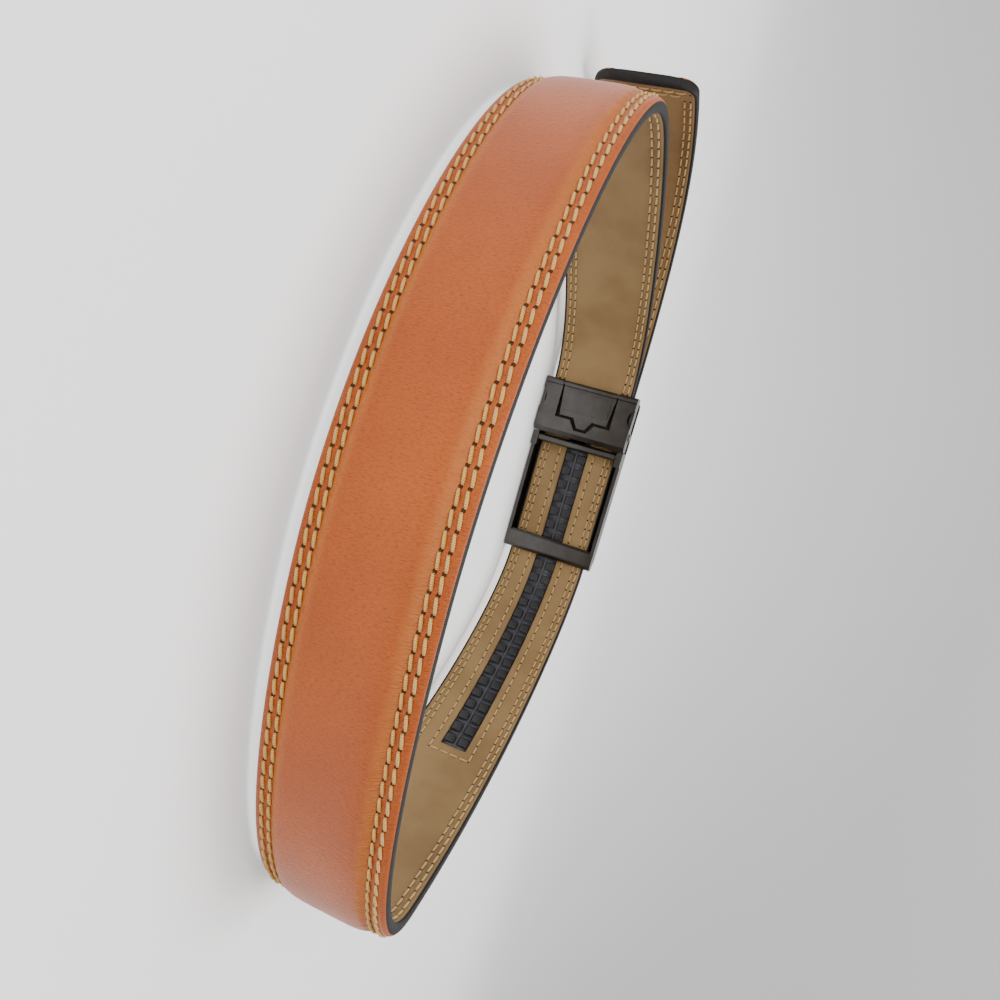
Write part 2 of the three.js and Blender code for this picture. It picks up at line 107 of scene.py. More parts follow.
class Channel:
    """One number socket of a shader, used in plain Python expressions."""

    def __init__(self, graph: "Graph", socket: bpy.types.NodeSocket) -> None:
        """Keeps the socket and the graph that it belongs to."""
        self.graph = graph
        self.socket = socket

    def __add__(self, other: Any) -> "Channel":
        """Sum."""
        return self.graph.math("ADD", self, other)

    __radd__ = __add__

    def __sub__(self, other: Any) -> "Channel":
        """Difference."""
        return self.graph.math("SUBTRACT", self, other)

    def __rsub__(self, other: Any) -> "Channel":
        """Difference the other way round."""
        return self.graph.math("SUBTRACT", other, self)

    def __mul__(self, other: Any) -> "Channel":
        """Product."""
        return self.graph.math("MULTIPLY", self, other)

    __rmul__ = __mul__

    def __pow__(self, other: Any) -> "Channel":
        """Power."""
        return self.graph.math("POWER", self, other)

    def __abs__(self) -> "Channel":
        """Size without sign."""
        return self.graph.math("ABSOLUTE", self)

    def most(self, other: Any) -> "Channel":
        """The larger of the two."""
        return self.graph.math("MAXIMUM", self, other)

    def repeat(self, length: float) -> "Channel":
        """Distance from the nearest whole multiple of a length."""
        return self.graph.math("PINGPONG", self, length / 2)

    def step(self, low: float, high: float) -> "Channel":
        """A smooth step between two values.

        Args:
            low: where it gives 0.
            high: where it gives 1. With the smaller of the two here, the step falls.

        Returns:
            The step as a channel.
        """
        falls = low > high
        node = self.graph.node(
            "ShaderNodeMapRange",
            {"interpolation_type": "SMOOTHSTEP"},
            {0: self, 1: min(low, high), 2: max(low, high), 3: float(falls), 4: float(not falls)},
        )
        return Channel(self.graph, node.outputs[0])


class Graph:
    """The node tree of one material."""

    def __init__(self, name: str) -> None:
        """Makes a material with an empty tree.

        Args:
            name: the material's name.
        """
        self.material = bpy.data.materials.new(name)
        self.material.use_nodes = True
        self.tree = self.material.node_tree
        self.tree.nodes.clear()

    def node(self, kind: str, settings: dict[str, Any], values: dict[Any, Any]) -> bpy.types.Node:
        """Adds one node.

        Args:
            kind: the node's type name.
            settings: its properties.
            values: numbers, colours, sockets or channels for its inputs, by name or index.

        Returns:
            The node.
        """
        node = self.tree.nodes.new(kind)
        for key, value in settings.items():
            setattr(node, key, value)
        for key, value in values.items():
            if isinstance(value, Channel):
                self.tree.links.new(value.socket, node.inputs[key])
            elif isinstance(value, bpy.types.NodeSocket):
                self.tree.links.new(value, node.inputs[key])
            else:
                node.inputs[key].default_value = value
        return node

    def math(self, operation: str, *values: Any) -> Channel:
        """One Math node on numbers or channels."""
        node = self.node("ShaderNodeMath", {"operation": operation}, dict(enumerate(values)))
        return Channel(self, node.outputs[0])

    def scaled(self, vector: Any, factors: tuple[float, float, float]) -> bpy.types.NodeSocket:
        """A vector with each of its parts multiplied by a factor."""
        node = self.node("ShaderNodeVectorMath", {"operation": "MULTIPLY"}, {0: vector, 1: factors})
        return node.outputs[0]

    def blend(self, mask: Any, first: Any, second: Any) -> bpy.types.NodeSocket:
        """Mixes two colours by a mask.

        Args:
            mask: 0 gives the first colour and 1 the second.
            first: a colour or a colour socket.
            second: a colour or a colour socket.

        Returns:
            The mixed colour's socket.
        """
        colours = [(*c, 1) if isinstance(c, tuple) else c for c in (first, second)]
        node = self.node("ShaderNodeMix", {"data_type": "RGBA"}, {0: mask, 6: colours[0], 7: colours[1]})
        return node.outputs[2]

    def place(self) -> bpy.types.NodeSocket:
        """The point on the object, in metres."""
        return self.node("ShaderNodeTexCoord", {}, {}).outputs["Object"]

    def along_and_across(self) -> tuple[Channel, Channel, bpy.types.NodeSocket]:
        """The two distances of the strap's map.

        Returns:
            The distance along, the distance across, and both as one vector, in millimetres.
        """
        uv = self.node("ShaderNodeUVMap", {"uv_map": "strap"}, {}).outputs[0]
        parts = self.node("ShaderNodeSeparateXYZ", {}, {0: uv})
        return Channel(self, parts.outputs[0]), Channel(self, parts.outputs[1]), uv

    def noise(self, vector: Any, scale: float, detail: float, rough: float) -> Channel:
        """Noise from 0 to 1.

        Args:
            vector: where it is read.
            scale: lumps for each unit of the vector.
            detail: octaves.
            rough: the octaves' strength.

        Returns:
            The noise as a channel.
        """
        values = {"Vector": vector, "Scale": scale, "Detail": detail, "Roughness": rough}
        return Channel(self, self.node("ShaderNodeTexNoise", {}, values).outputs[0])

    def cells(self, vector: Any, scale: float) -> Channel:
        """Distance to the nearest cell centre, which gives pores and pebbles."""
        values = {"Vector": vector, "Scale": scale, "Randomness": 0.9}
        return Channel(self, self.node("ShaderNodeTexVoronoi", {}, values).outputs[0])

    def finish(
        self, height: Channel | None, depth: float, strength: float, **sockets: Any
    ) -> bpy.types.Material:
        """Closes the tree with a surface shader.

        Args:
            height: relief from 0 to 1, or None.
            depth: what a relief of 1 stands for, in metres.
            strength: how strongly the relief shows.
            sockets: the shader's values, with underscores for spaces.

        Returns:
            The material.
        """
        values = {key.replace("_", " "): value for key, value in sockets.items()}
        if height is not None:
            relief = {"Strength": strength, "Distance": depth, "Height": height}
            values["Normal"] = self.node("ShaderNodeBump", {}, relief).outputs[0]
        shader = self.node("ShaderNodeBsdfPrincipled", {}, values)
        self.node("ShaderNodeOutputMaterial", {}, {0: shader.outputs[0]})
        return self.material


@dataclass(frozen=True)
class Sewing:
    """Where the strap is sewn. Lengths are in millimetres."""

    rows: tuple[float, ...] = (13.2, 15.2)
    slot_row: float = 7.8
    pitch: float = 4.15
    hole_core: float = 0.45

    def holes(self, along: Channel, across: Channel, rows: Sequence[float], radius: float) -> Channel:
        """A mask of the needle holes in rows of stitches.

        Args:
            along: millimetres along the strap.
            across: millimetres from its middle line.
            rows: each row's distance from the middle line.
            radius: of one hole, which is fully dark up to the core's share of it.

        Returns:
            1 in a hole and 0 away from it.
        """
        near = along.repeat(self.pitch)
        masks = []
        for row in rows:
            off = abs(across) - row
            distance = (near * near + off * off) ** 0.5
            masks.append(distance.step(radius, radius * self.hole_core))
        return reduce(Channel.most, masks)


@dataclass(frozen=True)
class TanLeather:
    """Smooth tan leather with a fine grain, a painted highlight along both feet of the crown, and needle
    holes.
    """

    sewing: Sewing
    deep: Colour = (0.17, 0.025, 0.001)
    main: Colour = (0.37, 0.068, 0.002)
    pale: Colour = (0.44, 0.09, 0.004)
    # Paler colour of the painted highlight along both feet of the crown.
    wear_and_highlight: Colour = (0.6, 0.22, 0.05)
    hole: Colour = (0.03, 0.011, 0.004)
    hole_radius: float = 0.56
    cloud_scale: float = 0.03
    grain_scale: float = 3.1
    grain_stretch: tuple[float, float, float] = (1.0, 0.3, 1.0)
    pore_scale: float = 2.4
    crease_scale: float = 1.7
    crease_stretch: tuple[float, float, float] = (1.0, 0.22, 1.0)
    foot_inside: tuple[float, float] = (9.0, 12.0)
    foot_outside: tuple[float, float] = (13.4, 12.2)
    # Strength of the painted highlight along the crown's feet.
    foot_highlight: float = 0.36
    relief: float = 0.00042

    def build(self) -> bpy.types.Material:
        """Makes the material.

        Returns:
            The material.
        """
        g = Graph("tan_leather")
        along, across, uv = g.along_and_across()
        stretched = g.scaled(uv, self.grain_stretch)
        cloud = g.noise(uv, self.cloud_scale, 3, 0.5)
        grain = g.noise(stretched, self.grain_scale, 4, 0.65)
        pores = g.cells(stretched, self.pore_scale)
        creases = g.noise(g.scaled(uv, self.crease_stretch), self.crease_scale, 3, 0.6)
        away = abs(across)
        # Painted highlight: both feet of the crown, just inside the inner stitch rows, are painted paler.
        foot = away.step(*self.foot_inside) * away.step(*self.foot_outside) * self.foot_highlight
        holes = self.sewing.holes(along, across, self.sewing.rows, self.hole_radius)
        colour = g.blend(cloud.step(0.3, 0.72), self.main, self.pale)
        colour = g.blend(grain.step(0.56, 0.3) * 0.55, colour, self.deep)
        # Paints the highlight colour over the crown's feet.
        colour = g.blend(foot, colour, self.wear_and_highlight)
        colour = g.blend(holes, colour, self.hole)
        height = grain * 0.6 + pores * 0.35 + creases * 0.55 - holes * 2.5
        rough = 0.3 + grain * 0.16 - cloud * 0.05
        return g.finish(
            height, self.relief, 1.0, Base_Color=colour, Roughness=rough, Specular_IOR_Level=0.36
        )


@dataclass(frozen=True)
class LiningLeather:
    """Matte beige lining with fine pores and needle holes, and painted shade where it runs inside the clamp.
    """

    sewing: Sewing
    slot_seam: tuple[float, float]
    main: Colour = (0.21, 0.125, 0.05)
    pale: Colour = (0.27, 0.17, 0.07)
    deep: Colour = (0.1, 0.045, 0.013)
    # Colour of the needle holes, also used as the painted shade inside the clamp.
    hole: Colour = (0.012, 0.006, 0.003)
    hole_radius: float = 0.55
    # How far along the lining the painted shade inside the clamp reaches, in millimetres.
    clamp_shade: float = 20.0
    soft: float = 0.4
    cloud_scale: float = 0.045
    grain_scale: float = 2.6
    pore_scale: float = 2.2
    relief: float = 0.00008

    def build(self) -> bpy.types.Material:
        """Makes the material.

        Returns:
            The material.
        """
        g = Graph("lining_leather")
        along, across, uv = g.along_and_across()
        cloud = g.noise(uv, self.cloud_scale, 3, 0.5)
        grain = g.noise(uv, self.grain_scale, 4, 0.65)
        pores = g.cells(uv, self.pore_scale)
        start, end = self.slot_seam
        by_slot = along.step(start - self.soft, start) * along.step(end + self.soft, end)
        slot_holes = self.sewing.holes(along, across, (self.sewing.slot_row,), self.hole_radius)
        holes = self.sewing.holes(along, across, self.sewing.rows, self.hole_radius)
        holes = holes.most(slot_holes * by_slot)
        # Painted shade: the lining inside the clamp is painted near black.
        clamp_shade = along.step(self.clamp_shade, self.clamp_shade - self.soft)
        colour = g.blend(cloud.step(0.3, 0.7), self.main, self.pale)
        colour = g.blend(grain.step(0.5, 0.2) * 0.5, colour, self.deep)
        # Needle holes and the painted shade inside the clamp both take the hole colour.
        colour = g.blend(holes.most(clamp_shade), colour, self.hole)
        height = grain + pores * 0.4 - holes * 4.0
        rough = 0.62 + grain * 0.15
        return g.finish(
            height, self.relief, 0.8, Base_Color=colour, Roughness=rough, Specular_IOR_Level=0.3
        )


@dataclass(frozen=True)
class EdgePaint:
    """Dark edge paint, a little glossy and slightly uneven."""

    main: Colour = (0.008, 0.007, 0.0065)
    worn: Colour = (0.02, 0.016, 0.014)
    smear_scale: float = 900
    relief: float = 0.00012

    def build(self) -> bpy.types.Material:
        """Makes the material.

        Returns:
            The material.
        """
        g = Graph("edge_paint")
        smear = g.noise(g.place(), self.smear_scale, 3, 0.6)
        colour = g.blend(smear.step(0.5, 0.8), self.main, self.worn)
        rough = 0.5 + smear * 0.2
        return g.finish(
            smear, self.relief, 0.6, Base_Color=colour, Roughness=rough, Specular_IOR_Level=0.25
        )


@dataclass(frozen=True)
class Thread:
    """Twisted sewing thread with a slanting ply."""

    name: str
    main: Colour
    shade: Colour
    twist: float = 0.35
    ply_length: float = 0.5
    fuzz_scale: float = 4000
    relief: float = 0.00012

    def build(self) -> bpy.types.Material:
        """Makes the material.

        Returns:
            The material.
        """
        g = Graph(self.name)
        along, round_it, _ = g.along_and_across()
        ply = (along + round_it * self.twist).repeat(self.ply_length) * (2 / self.ply_length)
        fuzz = g.noise(g.place(), self.fuzz_scale, 2, 0.6)
        colour = g.blend(ply.step(0.75, 0.15) * 0.75, self.main, self.shade)
        rough = 0.5 + fuzz * 0.2
        return g.finish(ply + fuzz * 0.4, self.relief, 0.9, Base_Color=colour, Roughness=rough)


@dataclass(frozen=True)
class TrackPlastic:
    """Moulded black plastic, greyer on the ribs, base and spine than on the teeth."""

    tooth: Colour = (0.0025, 0.0025, 0.0035)
    rib: Colour = (0.026, 0.027, 0.035)
    speck_scale: float = 2600
    relief: float = 0.00004

    def build(self, part: TrackPart) -> bpy.types.Material:
        """Makes the material of one part of the track.

        Args:
            part: the teeth, or the ribs between them.

        Returns:
            The material.
        """
        g = Graph("track_" + part.name.lower())
        speck = g.noise(g.place(), self.speck_scale, 3, 0.6)
        base = self.rib if part is TrackPart.RIB else self.tooth
        colour = g.blend(speck.step(0.45, 0.75) * 0.2, base, self.rib)
        rough = 0.34 + speck * 0.22
        return g.finish(speck, self.relief, 0.5, Base_Color=colour, Roughness=rough)


@dataclass(frozen=True)
class Gunmetal:
    """Dark satin plating with a fine blasted grain and paler worn patches."""

    name: str = "gunmetal"
    main: Colour = (0.07, 0.066, 0.063)
    # Paler tone of the worn patches, spread by noise.
    wear_and_highlight: Colour = (0.15, 0.143, 0.138)
    rough: float = 0.24
    cloud_scale: float = 160
    grain_scale: float = 5200
    relief: float = 0.000015

    def build(self) -> bpy.types.Material:
        """Makes the material.

        Returns:
            The material.
        """
        g = Graph(self.name)
        where = g.place()
        cloud = g.noise(where, self.cloud_scale, 3, 0.5)
        grain = g.noise(where, self.grain_scale, 2, 0.7)
        colour = g.blend(cloud.step(0.35, 0.75) * 0.22, self.main, self.wear_and_highlight)
        rough = self.rough + cloud * 0.06 + grain * 0.08
        return g.finish(grain, self.relief, 0.5, Base_Color=colour, Metallic=0.95, Roughness=rough)


def step_lengths(points: np.ndarray) -> np.ndarray:
    """The distances from each point to the next."""
    return np.linalg.norm(np.diff(points, axis=0), axis=1)


@dataclass
class StrapRoute:
    """The line that the strap's inner face follows, in the part's own frame.

    Lengths are in millimetres. The loop is drawn with x along its longer way and y across it, and is
    then turned to stand with its buckle on the +Y side.
    """

    loop_length: float = 220.7
    loop_depth: float = 184.2
    top_at: float = 0.595
    front_at: float = 0.437
    bottom_at: float = 0.778
    buckle_at: float = 0.5135
    tip_reach: float = 94.0
    tip_rise: float = 73.5
    tip_leave: float = 0.75
    tip_arrive: float = 0.62
    tip_lean: float = 0.02
    cut_end_depth: float = 20.5
    cut_end_inset: float = 7.5
    front_plate_out: float = 7.3
    reaches: tuple[tuple[float, float], ...] = ((0.448, 0.23), (0.46, 0.493), (0.5, 0.62), (0.54, 0.35))
    keeper_mark: int = 4
    samples: int = 400
    least_step: float = 1e-6
    middle_z: float = field(init=False)
    buckle_x: float = field(init=False)
    half_buckle: float = field(init=False)
    face_y: float = field(init=False)
    s: np.ndarray = field(init=False)
    xy: np.ndarray = field(init=False)
    out: np.ndarray = field(init=False)
    marks: list[float] = field(init=False)

    def __post_init__(self) -> None:
        """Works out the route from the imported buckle's place and the sizes."""
        low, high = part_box("buckle_frame")
        self.middle_z = (high.z + low.z) / 2 / MM
        self.buckle_x = (high.x + low.x) / 2 / MM
        self.half_buckle = (high.x - low.x) / 2 / MM
        self.face_y = high.y / MM - self.front_plate_out
        points, lengths = self._points()
        points = points[np.concatenate([[True], step_lengths(points) > self.least_step])]
        self.s = np.concatenate([[0.0], np.cumsum(step_lengths(points))])
        way = np.gradient(points, self.s, axis=0)
        way /= np.linalg.norm(way, axis=1)[:, None]
        self.xy = np.array([self.buckle_x + self.buckle_middle, self.face_y]) - points
        self.out = np.column_stack([-way[:, 1], way[:, 0]])
        self.marks = list(np.cumsum(lengths))

    def _points(self) -> tuple[np.ndarray, list[float]]:
        """Draws the route before it is turned.

        Returns:
            Its points, and the length of each stretch.
        """
        middle, half = self.buckle_middle, self.half_buckle
        ends = np.array([
            [middle + half - self.cut_end_depth, self.cut_end_inset],
            [middle + half, self.cut_end_inset],
            [self.loop_length, self.top_at * self.loop_depth],
            [self.front_at * self.loop_length, self.loop_depth],
            [0.0, self.bottom_at * self.loop_depth],
            [middle - half, 0.0],
            [middle + half, 0.0],
            [middle + half + self.tip_reach, self.tip_rise],
        ])
        ways = np.array(
            [[1, 0], [1, 0], [0, 1], [-1, 0], [0, -1], [1, 0], [1, 0], [self.tip_lean, 1]], float
        )
        ways /= np.linalg.norm(ways, axis=1)[:, None]
        last = len(ends) - 2
        handles = {last: (self.tip_leave * self.tip_reach, self.tip_arrive * self.tip_rise)}
        for i, (leave, arrive) in enumerate(self.reaches, start=1):
            span = np.abs(ends[i + 1] - ends[i])
            leaving = leave * float(span @ np.abs(ways[i]))
            arriving = arrive * float(span @ np.abs(ways[i + 1]))
            handles[i] = (leaving, arriving)
        rows, lengths = [], []
        t = np.linspace(0, 1, self.samples)[:, None]
        for i in range(len(ends) - 1):
            a, d = ends[i], ends[i + 1]
            if i in handles:
                b = a + ways[i] * handles[i][0]
                c = d - ways[i + 1] * handles[i][1]
            else:
                b, c = a + (d - a) / 3, d - (d - a) / 3
            curve = (1 - t) ** 3 * a + 3 * (1 - t) ** 2 * t * b + 3 * (1 - t) * t ** 2 * c + t ** 3 * d
            rows.append(curve)
            lengths.append(float(step_lengths(curve).sum()))
        return np.vstack(rows), lengths

    @property
    def buckle_middle(self) -> float:
        """The buckle's middle along the loop's longer way, before it is turned."""
        return self.buckle_at * self.loop_length

    @property
    def length(self) -> float:
        """The strap's whole length."""
        return float(self.s[-1])

    @property
    def buckle_start(self) -> float:
        """Where the strap enters the buckle by its keeper."""
        return self.marks[self.keeper_mark]

    def place(self, along: np.ndarray, across: np.ndarray, outward: np.ndarray) -> np.ndarray:
        """Points in metres for distances along, across and outward from the route.

        Args:
            along: millimetres from the cut end.
            across: millimetres from the middle line, upward.
            outward: millimetres out of the strap's inner face.

        Returns:
            An array of points.
        """
        along = np.asarray(along, float)
        inside = np.clip(along, 0, self.length)
        x = np.interp(inside, self.s, self.xy[:, 0])
        y = np.interp(inside, self.s, self.xy[:, 1])
        ox = np.interp(inside, self.s, self.out[:, 0])
        oy = np.interp(inside, self.s, self.out[:, 1])
        size = np.hypot(ox, oy)
        past = along - inside
        x = x + ox / size * outward - oy / size * past
        y = y + oy / size * outward + ox / size * past
        z = self.middle_z + np.asarray(across, float) + 0 * x
        return np.stack([x, y, z], axis=-1) * MM


def new_object(
    name: str, points: np.ndarray, faces: Sequence[Sequence[int]], materials: Sequence[bpy.types.Material],
    uv: np.ndarray | None = None, indices: Sequence[int] | None = None,
) -> bpy.types.Object:
    """Makes a smooth-shaded mesh object.

    Args:
        name: the object's name.
        points: its vertices, in metres.
        faces: vertex indices of each face.
        materials: its material slots.
        uv: along and across, in millimetres, for each vertex.
        indices: each face's material slot.

    Returns:
        The object.
    """
    mesh = bpy.data.meshes.new(name)
    mesh.from_pydata(points.reshape(-1, 3).tolist(), [], [tuple(f) for f in faces])
    for material in materials:
        mesh.materials.append(material)
    if indices is not None:
        mesh.polygons.foreach_set("material_index", np.asarray(indices, np.int32))
    if uv is not None:
        layer = mesh.uv_layers.new(name="strap")
        loops = np.empty(len(mesh.loops), np.int32)
        mesh.loops.foreach_get("vertex_index", loops)
        layer.data.foreach_set("uv", np.asarray(uv, np.float32)[loops].ravel())
    mesh.polygons.foreach_set("use_smooth", np.ones(len(mesh.polygons), bool))
    mesh.update()
    obj = bpy.data.objects.new(name, mesh)
    bpy.context.scene.collection.objects.link(obj)
    return obj


def close_up(obj: bpy.types.Object) -> None:
    """Drops vertices that no face uses, and makes a closed mesh's faces point out.

    Args:
        obj: the object whose mesh is closed up.
    """
    work = bmesh.new()
    work.from_mesh(obj.data)
    loose = [v for v in work.verts if not v.link_faces]
    bmesh.ops.delete(work, geom=loose, context="VERTS")
    bmesh.ops.recalc_face_normals(work, faces=work.faces)
    work.to_mesh(obj.data)
    work.free()


def loft_faces(rings: int, sides: int) -> Polygons:
    """The faces of a closed tube drawn as rings of points, with its two end faces last.

    Args:
        rings: how many rings there are, each listed after the one before.
        sides: the points in each ring.

    Returns:
        Vertex indices of each face.
    """
    faces: Polygons = []
    for i in range(rings - 1):
        for j in range(sides):
            k = (j + 1) % sides
            faces.append((i * sides + j, i * sides + k, (i + 1) * sides + k, (i + 1) * sides + j))
    faces.append(tuple(range(sides - 1, -1, -1)))
    faces.append(tuple((rings - 1) * sides + j for j in range(sides)))
    return faces


@dataclass(frozen=True)
class Swell:
    """A low rise that runs along the strap. Lengths are in millimetres."""

    at: float
    spread: float
    height: float

    def over(self, away: np.ndarray) -> np.ndarray:
        """Its height at distances from the strap's middle line."""
        return np.exp(-(((away - self.at) / self.spread) ** 2)) * self.height


@dataclass(frozen=True)
class Stitches:
    """The stitches that show on one side of the strap. Lengths are in millimetres."""

    name: str
    face: Face
    radius: float
    thread: Thread
    lie: Callable[[np.ndarray, np.ndarray], np.ndarray]
    sides: int = 8
    steps: int = 9
    hidden: float = 0.06
    arch: float = 1.25
    arch_round: float = 0.55
    sunk: float = 0.45
    end_share: float = 0.62
    bow: float = 0.12

    def build(self, route: StrapRoute, holes: np.ndarray) -> bpy.types.Object:
        """Makes threads that dip into their needle holes at both ends, as one mesh.

        Args:
            route: the strap's line.
            holes: a row for each stitch: along and across at its first hole, then at its second.

        Returns:
            The piece.
        """
        t = np.linspace(self.hidden, 1 - self.hidden, self.steps)
        hump = np.sin(math.pi * t)
        lift = self.radius * (self.arch * hump ** self.arch_round - self.sunk)
        thick = self.radius * (self.end_share + (1 - self.end_share) * hump ** 0.5)
        angle = np.linspace(0, 2 * math.pi, self.sides, endpoint=False)
        run = holes[:, 2:] - holes[:, :2]
        length = np.linalg.norm(run, axis=1, keepdims=True)
        way = run / length
        aside = np.stack([-way[:, 1], way[:, 0]], 1)
        centre = holes[:, None, :2] + run[:, None] * t[None, :, None]
        centre = centre + (hump * self.bow)[None, :, None] * aside[:, None]
        ring_side = thick[None, :, None] * np.cos(angle)[None, None]
        ring_up = lift[None, :, None] + thick[None, :, None] * np.sin(angle)[None, None]
        along = centre[..., 0][..., None] + ring_side * aside[:, 0][:, None, None]
        across = centre[..., 1][..., None] + ring_side * aside[:, 1][:, None, None]
        base = self.lie(centre[..., 0], centre[..., 1])[..., None]
        outward = base + self.face.value * np.broadcast_to(ring_up, along.shape)
        points = route.place(along, across, outward)
        pattern = loft_faces(self.steps, self.sides)
        each = self.steps * self.sides
        faces = [tuple(number * each + v for v in p) for number in range(len(holes)) for p in pattern]
        wrap = np.broadcast_to(angle[None, None] / math.pi, along.shape)
        local = np.broadcast_to(t[None, :, None] * length[:, None], along.shape)
        uv = np.stack([local, wrap], -1).reshape(-1, 2)
        obj = new_object(self.name, points, faces, [self.thread.build()], uv)
        close_up(obj)
        return obj


@dataclass(frozen=True)
class Track:
    """The toothed strip in the lining's slot. Lengths are in millimetres."""

    route: StrapRoute
    span: tuple[float, float]
    slot_width: float
    play: float = 0.3
    base_levels: tuple[float, float] = (0.72, 1.2)
    spine_half: float = 0.55
    spine_levels: tuple[float, float] = (0.42, 0.8)
    rib_half: float = 0.45
    rib_levels: tuple[float, float] = (0.5, 0.8)
    bar_rings: int = 120
    tooth_pitch: float = 6.35
    end_room: float = 2.4
    nose_past_middle: float = 16.9
    tooth_gap: float = 0.85
    tooth_play: float = 0.12
    tooth_corner: float = 0.35
    tooth_layers: tuple[tuple[float, float, float], ...] = (
        (1.95, 1.0, 0.8), (1.95, 1.0, 0.25), (1.8, 0.92, 0.1), (1.45, 0.8, 0.06),
    )

    @property
    def half(self) -> float:
        """Half the track's width."""
        return self.slot_width / 2 - self.play

    def build(self) -> bpy.types.Object:
        """Makes a base with a spine, and ribs between two rows of rounded teeth.

        Returns:
            The piece.
        """
        start, end = self.span
        whole = (start + self.play, end - self.play)
        shapes = [
            (self._bar(whole, self.half, self.base_levels, self.bar_rings), TrackPart.RIB),
            (self._bar(whole, self.spine_half, self.spine_levels, self.bar_rings), TrackPart.RIB),
        ]
        nose = self.route.buckle_start + self.route.half_buckle + self.nose_past_middle
        first = math.ceil((start + self.end_room - nose) / self.tooth_pitch - 0.5)
        last = math.floor((end - self.end_room - nose) / self.tooth_pitch - 0.5)
        for i in range(first, last + 1):
            middle = nose + (i + 0.5) * self.tooth_pitch
            for side in (-1, 1):
                shapes.append((self._tooth(middle, side), TrackPart.TOOTH))
            edge = middle + self.tooth_pitch / 2
            rib = (edge - self.rib_half, edge + self.rib_half)
            shapes.append((self._bar(rib, self.half, self.rib_levels, 2), TrackPart.RIB))
        points, faces, kinds, base = [], [], [], 0
        for (vertices, polygons), part in shapes:
            points.append(vertices)
            faces += [tuple(base + v for v in p) for p in polygons]
            kinds += [part.value] * len(polygons)
            base += len(vertices)
        plastic = TrackPlastic()
        materials = [plastic.build(part) for part in TrackPart]
        obj = new_object("toothed_track", np.concatenate(points), faces, materials, None, kinds)
        close_up(obj)
        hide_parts("ratchet_track")
        return obj

    def _bar(
        self, span: tuple[float, float], half: float, levels: tuple[float, float], rings: int
    ) -> tuple[np.ndarray, Polygons]:
        """A straight-sided bar along the route.

        Args:
            span: where it starts and ends along the strap.
            half: half its width.
            levels: its near and far face, outward from the strap's inner face.
            rings: how many sections it is drawn with.

        Returns:
            Its points and faces.
        """
        near, far = levels
        along = np.linspace(*span, rings)[:, None].repeat(4, 1)
        across = np.broadcast_to([-half, half, half, -half], along.shape)
        outward = np.broadcast_to([near, near, far, far], along.shape)
        return self.route.place(along, across, outward).reshape(-1, 3), loft_faces(rings, 4)

    def _tooth(self, middle: float, side: int) -> tuple[np.ndarray, Polygons]:
        """One tooth with a narrower, softened top.

        Args:
            middle: its place along the strap.
            side: -1 for the lower row and 1 for the upper one.

        Returns:
            Its points and faces.
        """
        low, high = self.tooth_gap, self.half - self.tooth_play
        centre = side * (low + high) / 2
        cut = self.tooth_corner
        points = []
        for length, share, level in self.tooth_layers:
            reach = (high - low) / 2 * share
            lower = [
                (-length, cut - reach), (cut - length, -reach), (length - cut, -reach), (length, cut - reach),
            ]
            upper = [(-x, -z) for x, z in lower]
            points += [(middle + x, centre + z, level) for x, z in lower + upper]
        along, across, outward = np.array(points).T
        sides = len(points) // len(self.tooth_layers)
        return self.route.place(along, across, outward), loft_faces(len(self.tooth_layers), sides)


